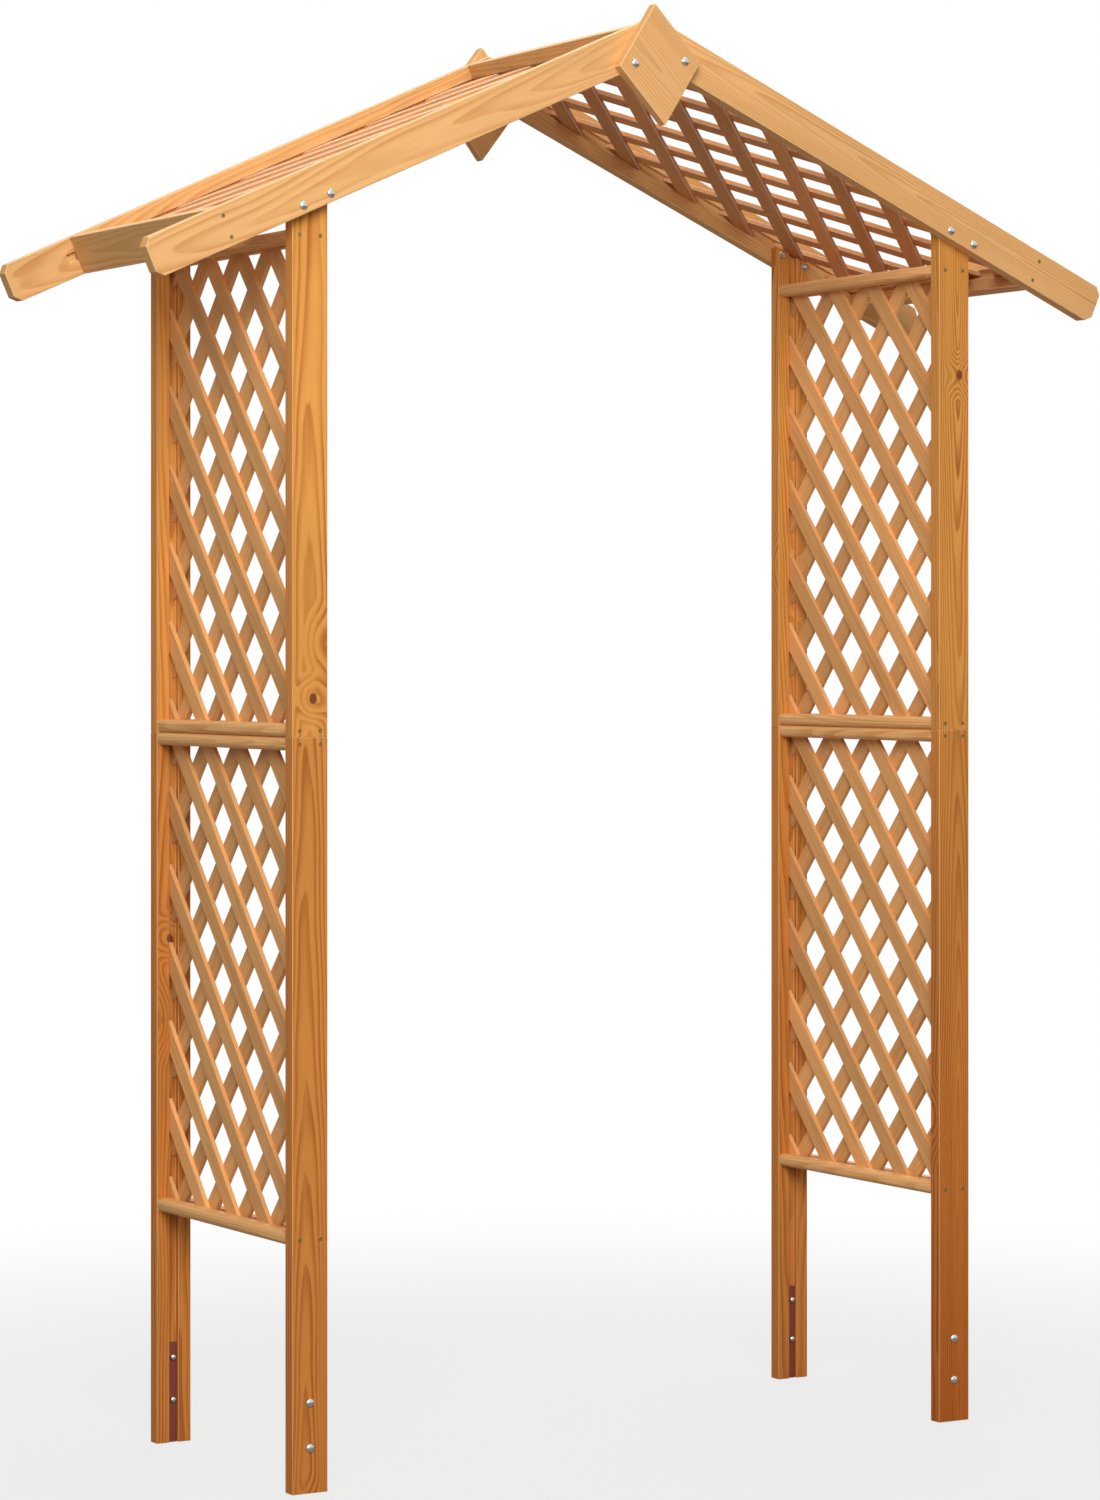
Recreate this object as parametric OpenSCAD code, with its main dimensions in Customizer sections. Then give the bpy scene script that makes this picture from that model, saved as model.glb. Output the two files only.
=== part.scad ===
// Rose arch of stained softwood: two trellis sides on four grooved posts,
// and a pitched trellis roof held between two pairs of rafters.
// X runs across the walkway, Y through it from front to back, Z up.
// The origin is on the ground, at the centre of the arch.

/* [Posts] */
// Width of a post, seen from the front
post_w = 70; // [60:1:90]
// Thickness of a post, front to back
post_t = 28; // [26:1:45]
// Distance between the centre lines of the left and right posts
post_spacing = 1396; // [1000:1:1800]
// Depth over the front and back posts
posts_depth = 590; // [400:1:900]
// Width of the groove down a post, a rafter or a board
groove_w = 18; // [17.5:0.1:18.4]
// Depth of the groove down a post or a rafter
groove_d = 10; // [7:0.5:12]

/* [Side panels] */
// Height of the lowest panel above the ground
panel_z = 437; // [300:1:600]
// Height of one panel, two of them stacked on each side
panel_h = 900; // [600:1:960]
// Height of a rail
rail_h = 24; // [20:1:40]
// Thickness of a rail, out from the laths
rail_d = 26; // [20:1:26]
// Radius of a rail's two rounded edges
rail_r = 10; // [4:0.5:10]
// Thickness of lath left below a panel's end, so that stacked panels meet at their rails
panel_end_gap = 1; // [0.5:0.5:3]

/* [Laths] */
// Width of a lath
lath_w = 34; // [20:1:45]
// Thickness of a lath
lath_t = 8.5; // [8.3:0.1:8.6]
// Depth that crossing laths are pressed into each other
lath_bite = 0.5; // [0.2:0.1:0.8]
// Distance between crossings along a panel's length
lath_pitch_long = 147; // [100:1:200]
// Distance between crossings across a panel's width
lath_pitch_cross = 130; // [90:1:200]
// Distance that a side panel's middle crossing lies behind the centre line
side_cross_shift = -10; // [-60:1:60]
// Distance that the right roof panel's middle crossing lies behind the centre line
roof_cross_shift = 24; // [-60:1:60]
// Distance that a panel's edges reach into the posts' and rafters' grooves
panel_seat = 8; // [5:0.5:9]

/* [Roof] */
// Gap between the uppermost rails and the rafters, at the posts' outer sides
rafter_clear = 17; // [5:1:60]
// Slope of the roof, in degrees
roof_pitch = 24; // [15:0.5:30]
// Height of a rafter, square to the slope
rafter_h = 73; // [66:1:90]
// Thickness of a rafter
rafter_t = 28; // [22:1:40]
// Distance down the slope from a post's outer side to the eave board
eave_overhang = 160; // [100:1:300]
// Distance from the eave board's outer face to the rafters' tails
tail_run = 148; // [60:1:250]
// Size of the cut corners at a rafter's tail
tail_cut = 13; // [6:1:20]
// Gap between the roof panel and the top of a post
post_top_gap = 2; // [1:0.5:4]
// Thickness of a ridge board or an eave board
board_t = 22; // [18:1:28]
// Gap between the two ridge boards at their lower corners
ridge_gap = 1; // [0.5:0.5:4]
// Depth of the groove in a ridge board or an eave board
board_groove_d = 8; // [5:0.5:9]
// Distance that a roof panel's ends reach into the boards' grooves
board_seat = 6; // [3:0.5:7]
// Distance that a rafter's groove runs on past the eave board
groove_run_on = 19; // [5:1:40]

/* [Gable plates] */
// Width of a gable plate, corner to corner
plate_w = 175; // [120:1:240]
// Height of a gable plate, corner to corner
plate_h = 224; // [150:1:300]
// Thickness of a gable plate
plate_t = 22; // [16:1:30]
// Distance from the apex down to a gable plate's centre
plate_drop = 91; // [60:1:120]
// Lean of the front gable plate, top to the left, in degrees
front_plate_lean = 5.5; // [0:0.5:8]

/* [Ground strips] */
// Width of a ground strip
strip_w = 16; // [12:1:17]
// Thickness of a ground strip
strip_t = 4; // [3:0.5:6]
// Height of a ground strip above the ground
strip_h = 188; // [180:1:250]
// Height of the lower anchor hole
anchor_z = 80; // [50:1:100]
// Distance between a post's two anchor holes
anchor_spacing = 80; // [40:1:80]
// Diameter of an anchor hole
anchor_d = 6.5; // [5:0.5:10.5]

/* [Hidden] */

left = -1;
right = 1;
front = -1;
back = 1;

post_x = post_spacing / 2;
post_out_y = posts_depth / 2;
post_in_y = post_out_y - post_t;
joint_z = panel_z + panel_h;
outer_x = post_x + post_w / 2;
apex_z = joint_z + panel_h + rafter_clear + outer_x * tan(roof_pitch) + rafter_h / cos(roof_pitch);
panel_t = 2 * lath_t - lath_bite;

// Distances in the slope's own frame: along the slope from the apex, and
// square to it, down from the rafters' top edges.
mid_p = rafter_h / 2;
post_top_p = mid_p + panel_t / 2 + post_top_gap;
ridge_in_s = rafter_h * tan(roof_pitch) + ridge_gap / 2;
ridge_out_s = ridge_in_s + board_t;
eave_in_s = outer_x / cos(roof_pitch) + eave_overhang;
eave_out_s = eave_in_s + board_t;
rafter_l = eave_out_s + tail_run;
roof_panel_l = eave_in_s - ridge_out_s + 2 * board_seat;

cut_through = 5;
round_fn = 48;

wood = [0.80, 0.56, 0.33];
wood_light = [0.86, 0.63, 0.39];
wood_dark = [0.70, 0.44, 0.24];
strip_steel = [0.36, 0.20, 0.17];

// Height of the line p millimetres square below the rafters' top edges, at x from the centre
function slope_z(x, p) = apex_z - p / cos(roof_pitch) - x * tan(roof_pitch);

// Outline in X and Z, made solid from y_low to y_high
module xz_prism(points, y_low, y_high) {
    translate([0, y_high, 0])
        rotate([90, 0, 0])
            linear_extrude(y_high - y_low)
                polygon(points);
}

// Puts children that are drawn for the right front quarter on the side and end that are named
module quarter(side, end) {
    mirror([side == left ? 1 : 0, 0, 0])
        mirror([0, end == back ? 1 : 0, 0])
            children();
}

// Frame of the right slope: X down the slope from the apex, Z square out of it
module on_slope() {
    translate([0, 0, apex_z])
        rotate([0, roof_pitch, 0])
            children();
}

// Cuts the groove down a front right post's inner face, between two heights
module post_groove(z_low, z_high) {
    translate([post_x - groove_w / 2, -post_in_y - groove_d, z_low])
        cube([groove_w, groove_d + cut_through, z_high - z_low]);
}

// Two anchor holes along Y, at the foot of the front right post
module anchor_holes() {
    for (i = [0, 1])
        translate([post_x, -post_out_y - cut_through, anchor_z + i * anchor_spacing])
            rotate([-90, 0, 0])
                cylinder(d = anchor_d, h = post_t + 2 * cut_through, $fn = round_fn);
}

module post_lower(side, end) {
    color(wood)
        quarter(side, end)
            difference() {
                translate([post_x - post_w / 2, -post_out_y, 0])
                    cube([post_w, post_t, joint_z]);
                post_groove(-cut_through, joint_z + cut_through);
                anchor_holes();
            }
}

module post_upper(side, end) {
    inner_x = post_x - post_w / 2;
    color(wood)
        quarter(side, end)
            difference() {
                xz_prism([
                    [inner_x, joint_z],
                    [outer_x, joint_z],
                    [outer_x, slope_z(outer_x, post_top_p)],
                    [inner_x, slope_z(inner_x, post_top_p)]
                ], -post_out_y, -post_in_y);
                post_groove(joint_z - cut_through, apex_z);
            }
}

// One layer of parallel laths that cover a panel, rising with X where rise is 1
module lath_layer(width, length, shift, rise, z_low) {
    angle = atan(lath_pitch_long / lath_pitch_cross);
    reach = width + length;
    spare = ceil((length + width * tan(angle)) / 2 / lath_pitch_long) + 1;
    for (i = [-spare : spare])
        translate([shift, i * lath_pitch_long, z_low])
            rotate([0, 0, rise * angle])
                translate([-reach, -lath_w / 2, 0])
                    cube([2 * reach, lath_w, lath_t]);
}

// Flat lattice about the origin: width along X, length along Y, and the layer
// whose laths rise with X below where hand is 1, and above where it is -1
module lattice(width, length, shift, hand) {
    intersection() {
        translate([-width / 2, -length / 2, -panel_t])
            cube([width, length, 2 * panel_t]);
        union() {
            lath_layer(width, length, shift, hand, -panel_t / 2);
            lath_layer(width, length, shift, -hand, panel_t / 2 - lath_t);
        }
    }
}

module side_lattice(side, z_low) {
    color(wood_light)
        translate([side * post_x, 0, z_low + panel_h / 2])
            rotate([90, 0, 90])
                lattice(2 * (post_in_y + panel_seat), panel_h - 2 * panel_end_gap, side_cross_shift, 1);
}

// Outline of a rail: flat against the laths, and rounded away from them
module rail_outline() {
    square([rail_d - rail_r, rail_h]);
    translate([rail_d - rail_r, rail_r])
        square([rail_r, rail_h - 2 * rail_r]);
    for (z = [rail_r, rail_h - rail_r])
        translate([rail_d - rail_r, z])
            circle(r = rail_r, $fn = round_fn);
}

// The outer and the inner rail of one end of a side panel
module rails(side, z_low) {
    color(wood)
        translate([side * post_x, 0, z_low])
            for (face = [0, 1])
                mirror([face, 0, 0])
                    translate([panel_t / 2, post_in_y, 0])
                        rotate([90, 0, 0])
                            linear_extrude(2 * post_in_y)
                                rail_outline();
}

module rafter(side, end) {
    apex_s = rafter_h * tan(roof_pitch);
    groove_end_s = eave_out_s + groove_run_on;
    color(wood)
        quarter(side, end)
            on_slope()
                difference() {
                    xz_prism([
                        [0, 0],
                        [rafter_l - tail_cut, 0],
                        [rafter_l, -tail_cut],
                        [rafter_l, tail_cut - rafter_h],
                        [rafter_l - tail_cut, -rafter_h],
                        [apex_s, -rafter_h]
                    ], -post_out_y - rafter_t, -post_out_y);
                    translate([-cut_through, -post_out_y - groove_d, -mid_p - groove_w / 2])
                        cube([groove_end_s + cut_through, groove_d + cut_through, groove_w]);
                }
}

// A board across the slope from s_low, with its groove in the face at groove_s
module cross_board(side, s_low, groove_s) {
    color(wood_dark)
        mirror([side == left ? 1 : 0, 0, 0])
            on_slope()
                difference() {
                    translate([s_low, -post_out_y, -rafter_h])
                        cube([board_t, 2 * post_out_y, rafter_h]);
                    translate([groove_s - board_groove_d, -posts_depth, -mid_p - groove_w / 2])
                        cube([2 * board_groove_d, 2 * posts_depth, groove_w]);
                }
}

module ridge_board(side) {
    cross_board(side, ridge_in_s, ridge_out_s);
}

module eave_board(side) {
    cross_board(side, eave_in_s, eave_in_s);
}

// Both roof panels are the same one, turned round for the left side
module roof_lattice(side) {
    color(wood_light)
        rotate([0, 0, side == left ? 180 : 0])
            on_slope()
                translate([(ridge_out_s + eave_in_s) / 2, 0, -mid_p])
                    rotate([0, 0, -90])
                        lattice(2 * (post_out_y + panel_seat), roof_panel_l, -roof_cross_shift, -1);
}

module gable_plate(end, lean) {
    outer_y = post_out_y + rafter_t;
    color(wood_light)
        translate([0, end * (outer_y + plate_t / 2), apex_z - plate_drop])
            rotate([0, -lean, 0])
                xz_prism([
                    [plate_w / 2, 0],
                    [0, plate_h / 2],
                    [-plate_w / 2, 0],
                    [0, -plate_h / 2]
                ], -plate_t / 2, plate_t / 2);
}

module ground_strip(side, end) {
    color(strip_steel)
        quarter(side, end)
            difference() {
                translate([post_x - strip_w / 2, -post_in_y - groove_d, 0])
                    cube([strip_w, strip_t, strip_h]);
                anchor_holes();
            }
}

post_lower(left, front);  // post_front_left_lower
post_upper(left, front);  // post_front_left_upper
post_lower(right, front);  // post_front_right_lower
post_upper(right, front);  // post_front_right_upper
post_lower(left, back);  // post_back_left_lower
post_upper(left, back);  // post_back_left_upper
post_lower(right, back);  // post_back_right_lower
post_upper(right, back);  // post_back_right_upper

side_lattice(left, panel_z);  // side_lattice_left_lower
side_lattice(left, joint_z);  // side_lattice_left_upper
side_lattice(right, panel_z);  // side_lattice_right_lower
side_lattice(right, joint_z);  // side_lattice_right_upper

rails(left, panel_z);  // rails_left_lower_bottom
rails(left, joint_z - rail_h);  // rails_left_lower_top
rails(left, joint_z);  // rails_left_upper_bottom
rails(left, joint_z + panel_h - rail_h);  // rails_left_upper_top
rails(right, panel_z);  // rails_right_lower_bottom
rails(right, joint_z - rail_h);  // rails_right_lower_top
rails(right, joint_z);  // rails_right_upper_bottom
rails(right, joint_z + panel_h - rail_h);  // rails_right_upper_top

rafter(left, front);  // rafter_front_left
rafter(right, front);  // rafter_front_right
rafter(left, back);  // rafter_back_left
rafter(right, back);  // rafter_back_right

ridge_board(left);  // ridge_board_left
ridge_board(right);  // ridge_board_right
eave_board(left);  // eave_board_left
eave_board(right);  // eave_board_right

roof_lattice(left);  // roof_lattice_left
roof_lattice(right);  // roof_lattice_right

gable_plate(front, front_plate_lean);  // gable_plate_front
gable_plate(back, 0);  // gable_plate_back

ground_strip(left, front);  // ground_strip_front_left
ground_strip(right, front);  // ground_strip_front_right
ground_strip(left, back);  // ground_strip_back_left
ground_strip(right, back);  // ground_strip_back_right
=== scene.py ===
"""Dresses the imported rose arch: stained softwood, zinc fixings, studio floor and camera."""

import logging
import math
import random
from collections.abc import Iterable, Sequence
from dataclasses import dataclass, field
from enum import Enum

import bmesh
import bpy
from mathutils import Matrix, Vector


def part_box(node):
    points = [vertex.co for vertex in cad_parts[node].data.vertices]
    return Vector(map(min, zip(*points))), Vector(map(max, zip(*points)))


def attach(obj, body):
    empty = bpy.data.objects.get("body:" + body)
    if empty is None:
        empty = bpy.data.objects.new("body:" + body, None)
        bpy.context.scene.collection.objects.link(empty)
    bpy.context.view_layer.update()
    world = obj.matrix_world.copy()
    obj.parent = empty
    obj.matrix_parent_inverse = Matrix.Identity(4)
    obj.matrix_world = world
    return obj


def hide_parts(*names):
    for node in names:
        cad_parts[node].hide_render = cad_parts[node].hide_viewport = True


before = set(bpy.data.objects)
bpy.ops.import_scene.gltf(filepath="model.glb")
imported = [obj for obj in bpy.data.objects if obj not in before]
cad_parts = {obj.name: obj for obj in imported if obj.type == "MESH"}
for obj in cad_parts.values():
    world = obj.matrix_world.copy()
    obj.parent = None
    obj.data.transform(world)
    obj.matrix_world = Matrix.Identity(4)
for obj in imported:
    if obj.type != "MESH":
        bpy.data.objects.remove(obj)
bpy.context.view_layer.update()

LOG = logging.getLogger("rose_arch")
MM = 0.001
ROOF_PITCH = math.radians(24.0)
SHARPEST_FLAT = math.radians(28)
NO_KNOT = (-50.0, 0.0, 0.0)

Colour = tuple[float, float, float]
Triple = tuple[float, float, float]
Socket = bpy.types.NodeSocket
Value = float | int | tuple | Socket


class Side(Enum):
    """Side of the walkway, with its sign along X."""

    LEFT = -1
    RIGHT = 1

    @property
    def word(self) -> str:
        """Name of the side as the frame's nodes spell it."""
        return self.name.lower()


class End(Enum):
    """End of the walkway, with its sign along Y."""

    FRONT = -1
    BACK = 1

    @property
    def word(self) -> str:
        """Name of the end as the frame's nodes spell it."""
        return self.name.lower()


class Slot(Enum):
    """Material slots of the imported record."""

    FRAME = "frame_wood"
    LATH = "lath_wood"
    STRIP = "strip_steel"


def linear(red: int, green: int, blue: int) -> Colour:
    """Turns a screen colour into scene-linear values.

    Args:
        red: Red from 0 to 255.
        green: Green from 0 to 255.
        blue: Blue from 0 to 255.

    Returns:
        The three linear channels.
    """

    def channel(byte: int) -> float:
        """Linear value of one channel."""
        share = byte / 255
        return share / 12.92 if share <= 0.04045 else ((share + 0.055) / 1.055) ** 2.4

    return channel(red), channel(green), channel(blue)


class TreeMaker:
    """Adds and links nodes in one shader or geometry tree."""

    def __init__(self, tree: bpy.types.NodeTree) -> None:
        """Keeps the tree that the other methods write into.

        Args:
            tree: The tree to fill.
        """
        self.tree = tree

    def feed(self, socket: Socket, value: Value | None) -> None:
        """Links a socket into an input, or sets the input's own value.

        Args:
            socket: The input.
            value: An output socket, a plain value, or None to leave the input alone.
        """
        if value is None:
            return
        if isinstance(value, Socket):
            self.tree.links.new(value, socket)
        else:
            socket.default_value = value

    def add(self, kind: str, inputs: dict[str | int, Value] | None = None, **settings) -> bpy.types.Node:
        """Adds a node.

        Args:
            kind: Blender's name of the node type.
            inputs: Values or sockets for its inputs, by name or number.
            **settings: The node's own properties.

        Returns:
            The new node.
        """
        node = self.tree.nodes.new(kind)
        for name, setting in settings.items():
            setattr(node, name, setting)
        for key, value in (inputs or {}).items():
            self.feed(node.inputs[key], value)
        return node

    def math(self, operation: str, first: Value, second: Value | None = None) -> Socket:
        """Adds one step of arithmetic.

        Args:
            operation: Blender's name of the operation.
            first: First operand.
            second: Second operand, where the operation has one.

        Returns:
            The result's socket.
        """
        node = self.add("ShaderNodeMath", operation=operation)
        self.feed(node.inputs[0], first)
        self.feed(node.inputs[1], second)
        return node.outputs[0]

    def vector(self, operation: str, first: Value, second: Value | None = None) -> Socket:
        """Adds one step of vector arithmetic.

        Args:
            operation: Blender's name of the operation.
            first: First operand.
            second: Second vector, or the factor of SCALE.

        Returns:
            The result's socket.
        """
        node = self.add("ShaderNodeVectorMath", operation=operation)
        self.feed(node.inputs[0], first)
        self.feed(node.inputs["Scale" if operation == "SCALE" else 1], second)
        return node.outputs["Value" if operation == "LENGTH" else "Vector"]

    def smooth(self, value: Value, low: float, high: float, start: float = 0.0, end: float = 1.0) -> Socket:
        """Maps a range with soft ends.

        Args:
            value: The value to map.
            low: Input at the start.
            high: Input at the end.
            start: Output at low.
            end: Output at high.

        Returns:
            The mapped value's socket.
        """
        inputs = {0: value, 1: low, 2: high, 3: start, 4: end}
        node = self.add("ShaderNodeMapRange", inputs, interpolation_type="SMOOTHSTEP")
        return node.outputs[0]

    def mix(self, factor: Value, first: Value, second: Value, blend: str = "MIX") -> Socket:
        """Mixes two colours.

        Args:
            factor: Share of the second colour.
            first: First colour.
            second: Second colour.
            blend: Blend mode.

        Returns:
            The mixed colour's socket.
        """
        node = self.add("ShaderNodeMix", data_type="RGBA", blend_type=blend)
        self.feed(node.inputs[0], factor)
        self.feed(node.inputs[6], first if isinstance(first, Socket) else (*first, 1.0))
        self.feed(node.inputs[7], second if isinstance(second, Socket) else (*second, 1.0))
        return node.outputs[2]

    def noise(self, vector: Socket, stretch: Triple, detail: float = 2.0) -> bpy.types.Node:
        """Adds a noise texture on a stretched vector.

        Args:
            vector: Coordinates in metres.
            stretch: Cells per metre along each axis.
            detail: Octaves of the noise.

        Returns:
            The noise node.
        """
        stretched = self.vector("MULTIPLY", vector, stretch)
        return self.add("ShaderNodeTexNoise", {"Vector": stretched, "Scale": 1.0, "Detail": detail})

    def end_geometry(self, geometry: Socket, material: Socket) -> None:
        """Makes a geometry tree's instances real, gives them a material and puts them out.

        Args:
            geometry: The geometry with its instances.
            material: The material of all of it.
        """
        real = self.add("GeometryNodeRealizeInstances", {"Geometry": geometry}).outputs[0]
        painted = self.add("GeometryNodeSetMaterial", {"Geometry": real, "Material": material})
        self.feed(self.tree.nodes["Outputs"].inputs[0], painted.outputs[0])


def new_group(name: str, kind: str, inputs: dict[str, str], outputs: dict[str, str]) -> TreeMaker:
    """Starts a node group with named sockets.

    Args:
        name: Name of the group.
        kind: ShaderNodeTree or GeometryNodeTree.
        inputs: Socket types of the inputs, by name.
        outputs: Socket types of the outputs, by name.

    Returns:
        A maker for the new tree, with its group input and output nodes in place.
    """
    tree = bpy.data.node_groups.new(name, kind)
    for label, socket_type in inputs.items():
        tree.interface.new_socket(name=label, in_out="INPUT", socket_type=socket_type)
    for label, socket_type in outputs.items():
        tree.interface.new_socket(name=label, in_out="OUTPUT", socket_type=socket_type)
    maker = TreeMaker(tree)
    maker.add("NodeGroupInput", name="Inputs")
    maker.add("NodeGroupOutput", name="Outputs")
    return maker


def timber_group() -> bpy.types.NodeTree:
    """Builds the growth rings, fibres, knots and clouds of sawn softwood.

    Returns:
        The shader group, shared by every wood material.
    """
    maker = new_group(
        "Timber grain",
        "ShaderNodeTree",
        {"Grain": "NodeSocketVector", "Ring Spacing": "NodeSocketFloat", "Knot Place": "NodeSocketVector"},
        dict.fromkeys(("Rings", "Fibre", "Knots", "Cloud"), "NodeSocketFloat"),
    )
    inputs = maker.tree.nodes["Inputs"].outputs
    grain = inputs["Grain"]

    slow = maker.noise(grain, (1.3, 8.0, 8.0)).outputs["Color"]
    slow = maker.vector("SCALE", maker.vector("SUBTRACT", slow, (0.5, 0.5, 0.5)), 0.03)
    quick = maker.noise(grain, (14.0, 120.0, 120.0)).outputs["Color"]
    quick = maker.vector("SCALE", maker.vector("SUBTRACT", quick, (0.5, 0.5, 0.5)), 0.0011)
    bent = maker.vector("ADD", maker.vector("ADD", grain, slow), quick)

    cells = maker.add(
        "ShaderNodeTexVoronoi",
        {"Vector": maker.vector("MULTIPLY", grain, (3.4, 9.0, 9.0)), "Scale": 1.0},
    )
    draw = maker.add("ShaderNodeSeparateColor", {0: cells.outputs["Color"]}).outputs[0]
    chosen = maker.math("GREATER_THAN", draw, 0.55)
    core = maker.math("MULTIPLY", maker.smooth(cells.outputs["Distance"], 0.085, 0.045), chosen)
    swell = maker.math("MULTIPLY", maker.smooth(cells.outputs["Distance"], 0.34, 0.04, 0.0, 0.016), chosen)

    to_knot = maker.vector("SUBTRACT", bent, inputs["Knot Place"])
    to_knot = maker.vector("LENGTH", maker.vector("MULTIPLY", to_knot, (0.8, 1.1, 0.0)))
    core = maker.math("MAXIMUM", core, maker.smooth(to_knot, 9.5 * MM, 6.5 * MM))
    swell = maker.math("ADD", swell, maker.smooth(to_knot, 48 * MM, 6 * MM, 0.0, 17 * MM))

    across = maker.vector("LENGTH", maker.vector("MULTIPLY", bent, (0.0, 1.0, 1.0)))
    radius = maker.math("ADD", across, swell)
    year = maker.math("FRACT", maker.math("DIVIDE", radius, inputs["Ring Spacing"]))
    late = maker.math("MULTIPLY", maker.smooth(year, 0.25, 0.88), maker.smooth(year, 1.0, 0.92))
    patchy = maker.smooth(maker.noise(grain, (0.8, 45.0, 45.0)).outputs[0], 0.3, 0.75, 0.35, 1.0)

    fibre = maker.noise(grain, (16.0, 750.0, 750.0), 3.0).outputs[0]
    cloud = maker.noise(grain, (2.2, 12.0, 12.0)).outputs[0]
    outputs = maker.tree.nodes["Outputs"].inputs
    maker.feed(outputs["Rings"], maker.math("MULTIPLY", late, patchy))
    maker.feed(outputs["Fibre"], fibre)
    maker.feed(outputs["Knots"], core)
    maker.feed(outputs["Cloud"], cloud)
    return maker.tree


@dataclass(frozen=True)
class WoodFinish:
    """Stained softwood, read from each piece's grain and tone attributes, with a darkening attribute (towards
    the posts' feet, and painted shade on the roof laths) and a paling attribute (worn arrises with a painted
    highlight, and painted sky highlights).
    """

    name: str
    early: Colour = linear(230, 176, 114)
    late: Colour = linear(200, 132, 68)
    knot: Colour = linear(128, 70, 38)
    # tint multiplied in where a piece is darkened: towards the posts' feet, and painted shade on the roof
    # laths
    soaked: Colour = (0.80, 0.52, 0.34)
    # colour of the paled faces: worn arrises with a painted highlight, and painted sky highlights
    pale: Colour = linear(248, 218, 164)
    ring_spacing: float = 4.6 * MM
    ring_share: float = 0.75
    roughness: float = 0.62

    def material(self, timber: bpy.types.NodeTree) -> bpy.types.Material:
        """Builds the material.

        Args:
            timber: The shared grain group.

        Returns:
            The finished material.
        """
        material = bpy.data.materials.new(self.name)
        material.use_nodes = True
        maker = TreeMaker(material.node_tree)
        shader = material.node_tree.nodes["Principled BSDF"]

        def attribute(name: str, output: str) -> Socket:
            """Reads one of the piece's attributes."""
            return maker.add("ShaderNodeAttribute", attribute_name=name).outputs[output]

        group = maker.add("ShaderNodeGroup", node_tree=timber)
        maker.feed(group.inputs["Grain"], attribute("grain", "Vector"))
        maker.feed(group.inputs["Ring Spacing"], self.ring_spacing)
        maker.feed(group.inputs["Knot Place"], attribute("knot", "Vector"))
        fibre = group.outputs["Fibre"]

        ringed = maker.math("MULTIPLY", group.outputs["Rings"], self.ring_share)
        colour = maker.mix(ringed, self.early, self.late)
        colour = maker.mix(group.outputs["Knots"], colour, self.knot)
        clouded = maker.smooth(group.outputs["Cloud"], 0.25, 0.75, -0.06, 0.06)
        light = maker.math("ADD", maker.smooth(fibre, 0.2, 0.8, 0.93, 1.05), clouded)
        light = maker.math("ADD", light, maker.math("MULTIPLY", attribute("tone", "Fac"), 0.13))
        colour = maker.vector("SCALE", colour, light)
        # darker, warmer tint by the darkening attribute: towards the posts' feet, and painted shade on the
        # roof laths
        soaked = maker.mix(1.0, colour, self.soaked, "MULTIPLY")
        colour = maker.mix(attribute("soak", "Fac"), colour, soaked)
        # paler towards the pale colour: worn arrises with a painted highlight, and a painted sky highlight on
        # the roof's upward faces
        colour = maker.mix(maker.math("MULTIPLY", attribute("arris", "Fac"), 0.45), colour, self.pale)
        maker.feed(shader.inputs["Base Color"], colour)
        rough = maker.smooth(fibre, 0.2, 0.8, self.roughness - 0.07, self.roughness + 0.08)
        maker.feed(shader.inputs["Roughness"], rough)
        shader.inputs["Specular IOR Level"].default_value = 0.2

        height = maker.math("ADD", maker.math("MULTIPLY", fibre, 0.5), group.outputs["Rings"])
        bump = maker.add("ShaderNodeBump", {"Height": height, "Strength": 0.22, "Distance": 0.5 * MM})
        maker.feed(shader.inputs["Normal"], bump.outputs["Normal"])
        return material


@dataclass(frozen=True)
class MetalFinish:
    """Plated or coated metal with a slightly uneven surface."""

    name: str
    base: Colour
    metallic: float
    roughness: float
    spread: float = 0.08
    cells: float = 260.0

    def material(self) -> bpy.types.Material:
        """Builds the material.

        Returns:
            The finished material.
        """
        material = bpy.data.materials.new(self.name)
        material.use_nodes = True
        maker = TreeMaker(material.node_tree)
        shader = material.node_tree.nodes["Principled BSDF"]
        place = maker.add("ShaderNodeTexCoord").outputs["Object"]
        blotch = maker.noise(place, (self.cells,) * 3).outputs[0]
        darker = tuple(0.78 * part for part in self.base)
        maker.feed(shader.inputs["Base Color"], maker.mix(blotch, self.base, darker))
        shader.inputs["Metallic"].default_value = self.metallic
        low, high = self.roughness - self.spread, self.roughness + self.spread
        maker.feed(shader.inputs["Roughness"], maker.smooth(blotch, 0.3, 0.7, low, high))
        return material


class Workshop:
    """Holds the materials that the sub-assemblies share."""

    def __init__(self) -> None:
        """Builds every finish once."""
        timber = timber_group()
        self.frame_wood = WoodFinish("Stained frame timber").material(timber)
        self.post_wood = WoodFinish(
            "Stained posts",
            early=linear(228, 157, 76),
            late=linear(174, 96, 32),
            soaked=(0.70, 0.42, 0.24),
            pale=linear(238, 188, 124),
            ring_share=0.9,
        ).material(timber)
        self.lath_wood = WoodFinish(
            "Stained laths",
            early=linear(232, 172, 108),
            late=linear(206, 134, 72),
            ring_spacing=3.6 * MM,
            ring_share=0.6,
        ).material(timber)
        self.zinc = MetalFinish("Bright zinc", linear(214, 214, 208), 1.0, 0.26).material()
        self.screw_steel = MetalFinish("Dull yellow zinc", linear(150, 128, 84), 1.0, 0.42).material()
        coat = MetalFinish("Red-brown coat", linear(136, 60, 44), 0.0, 0.42, cells=90.0)
        self.strip_paint = coat.material()


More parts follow.
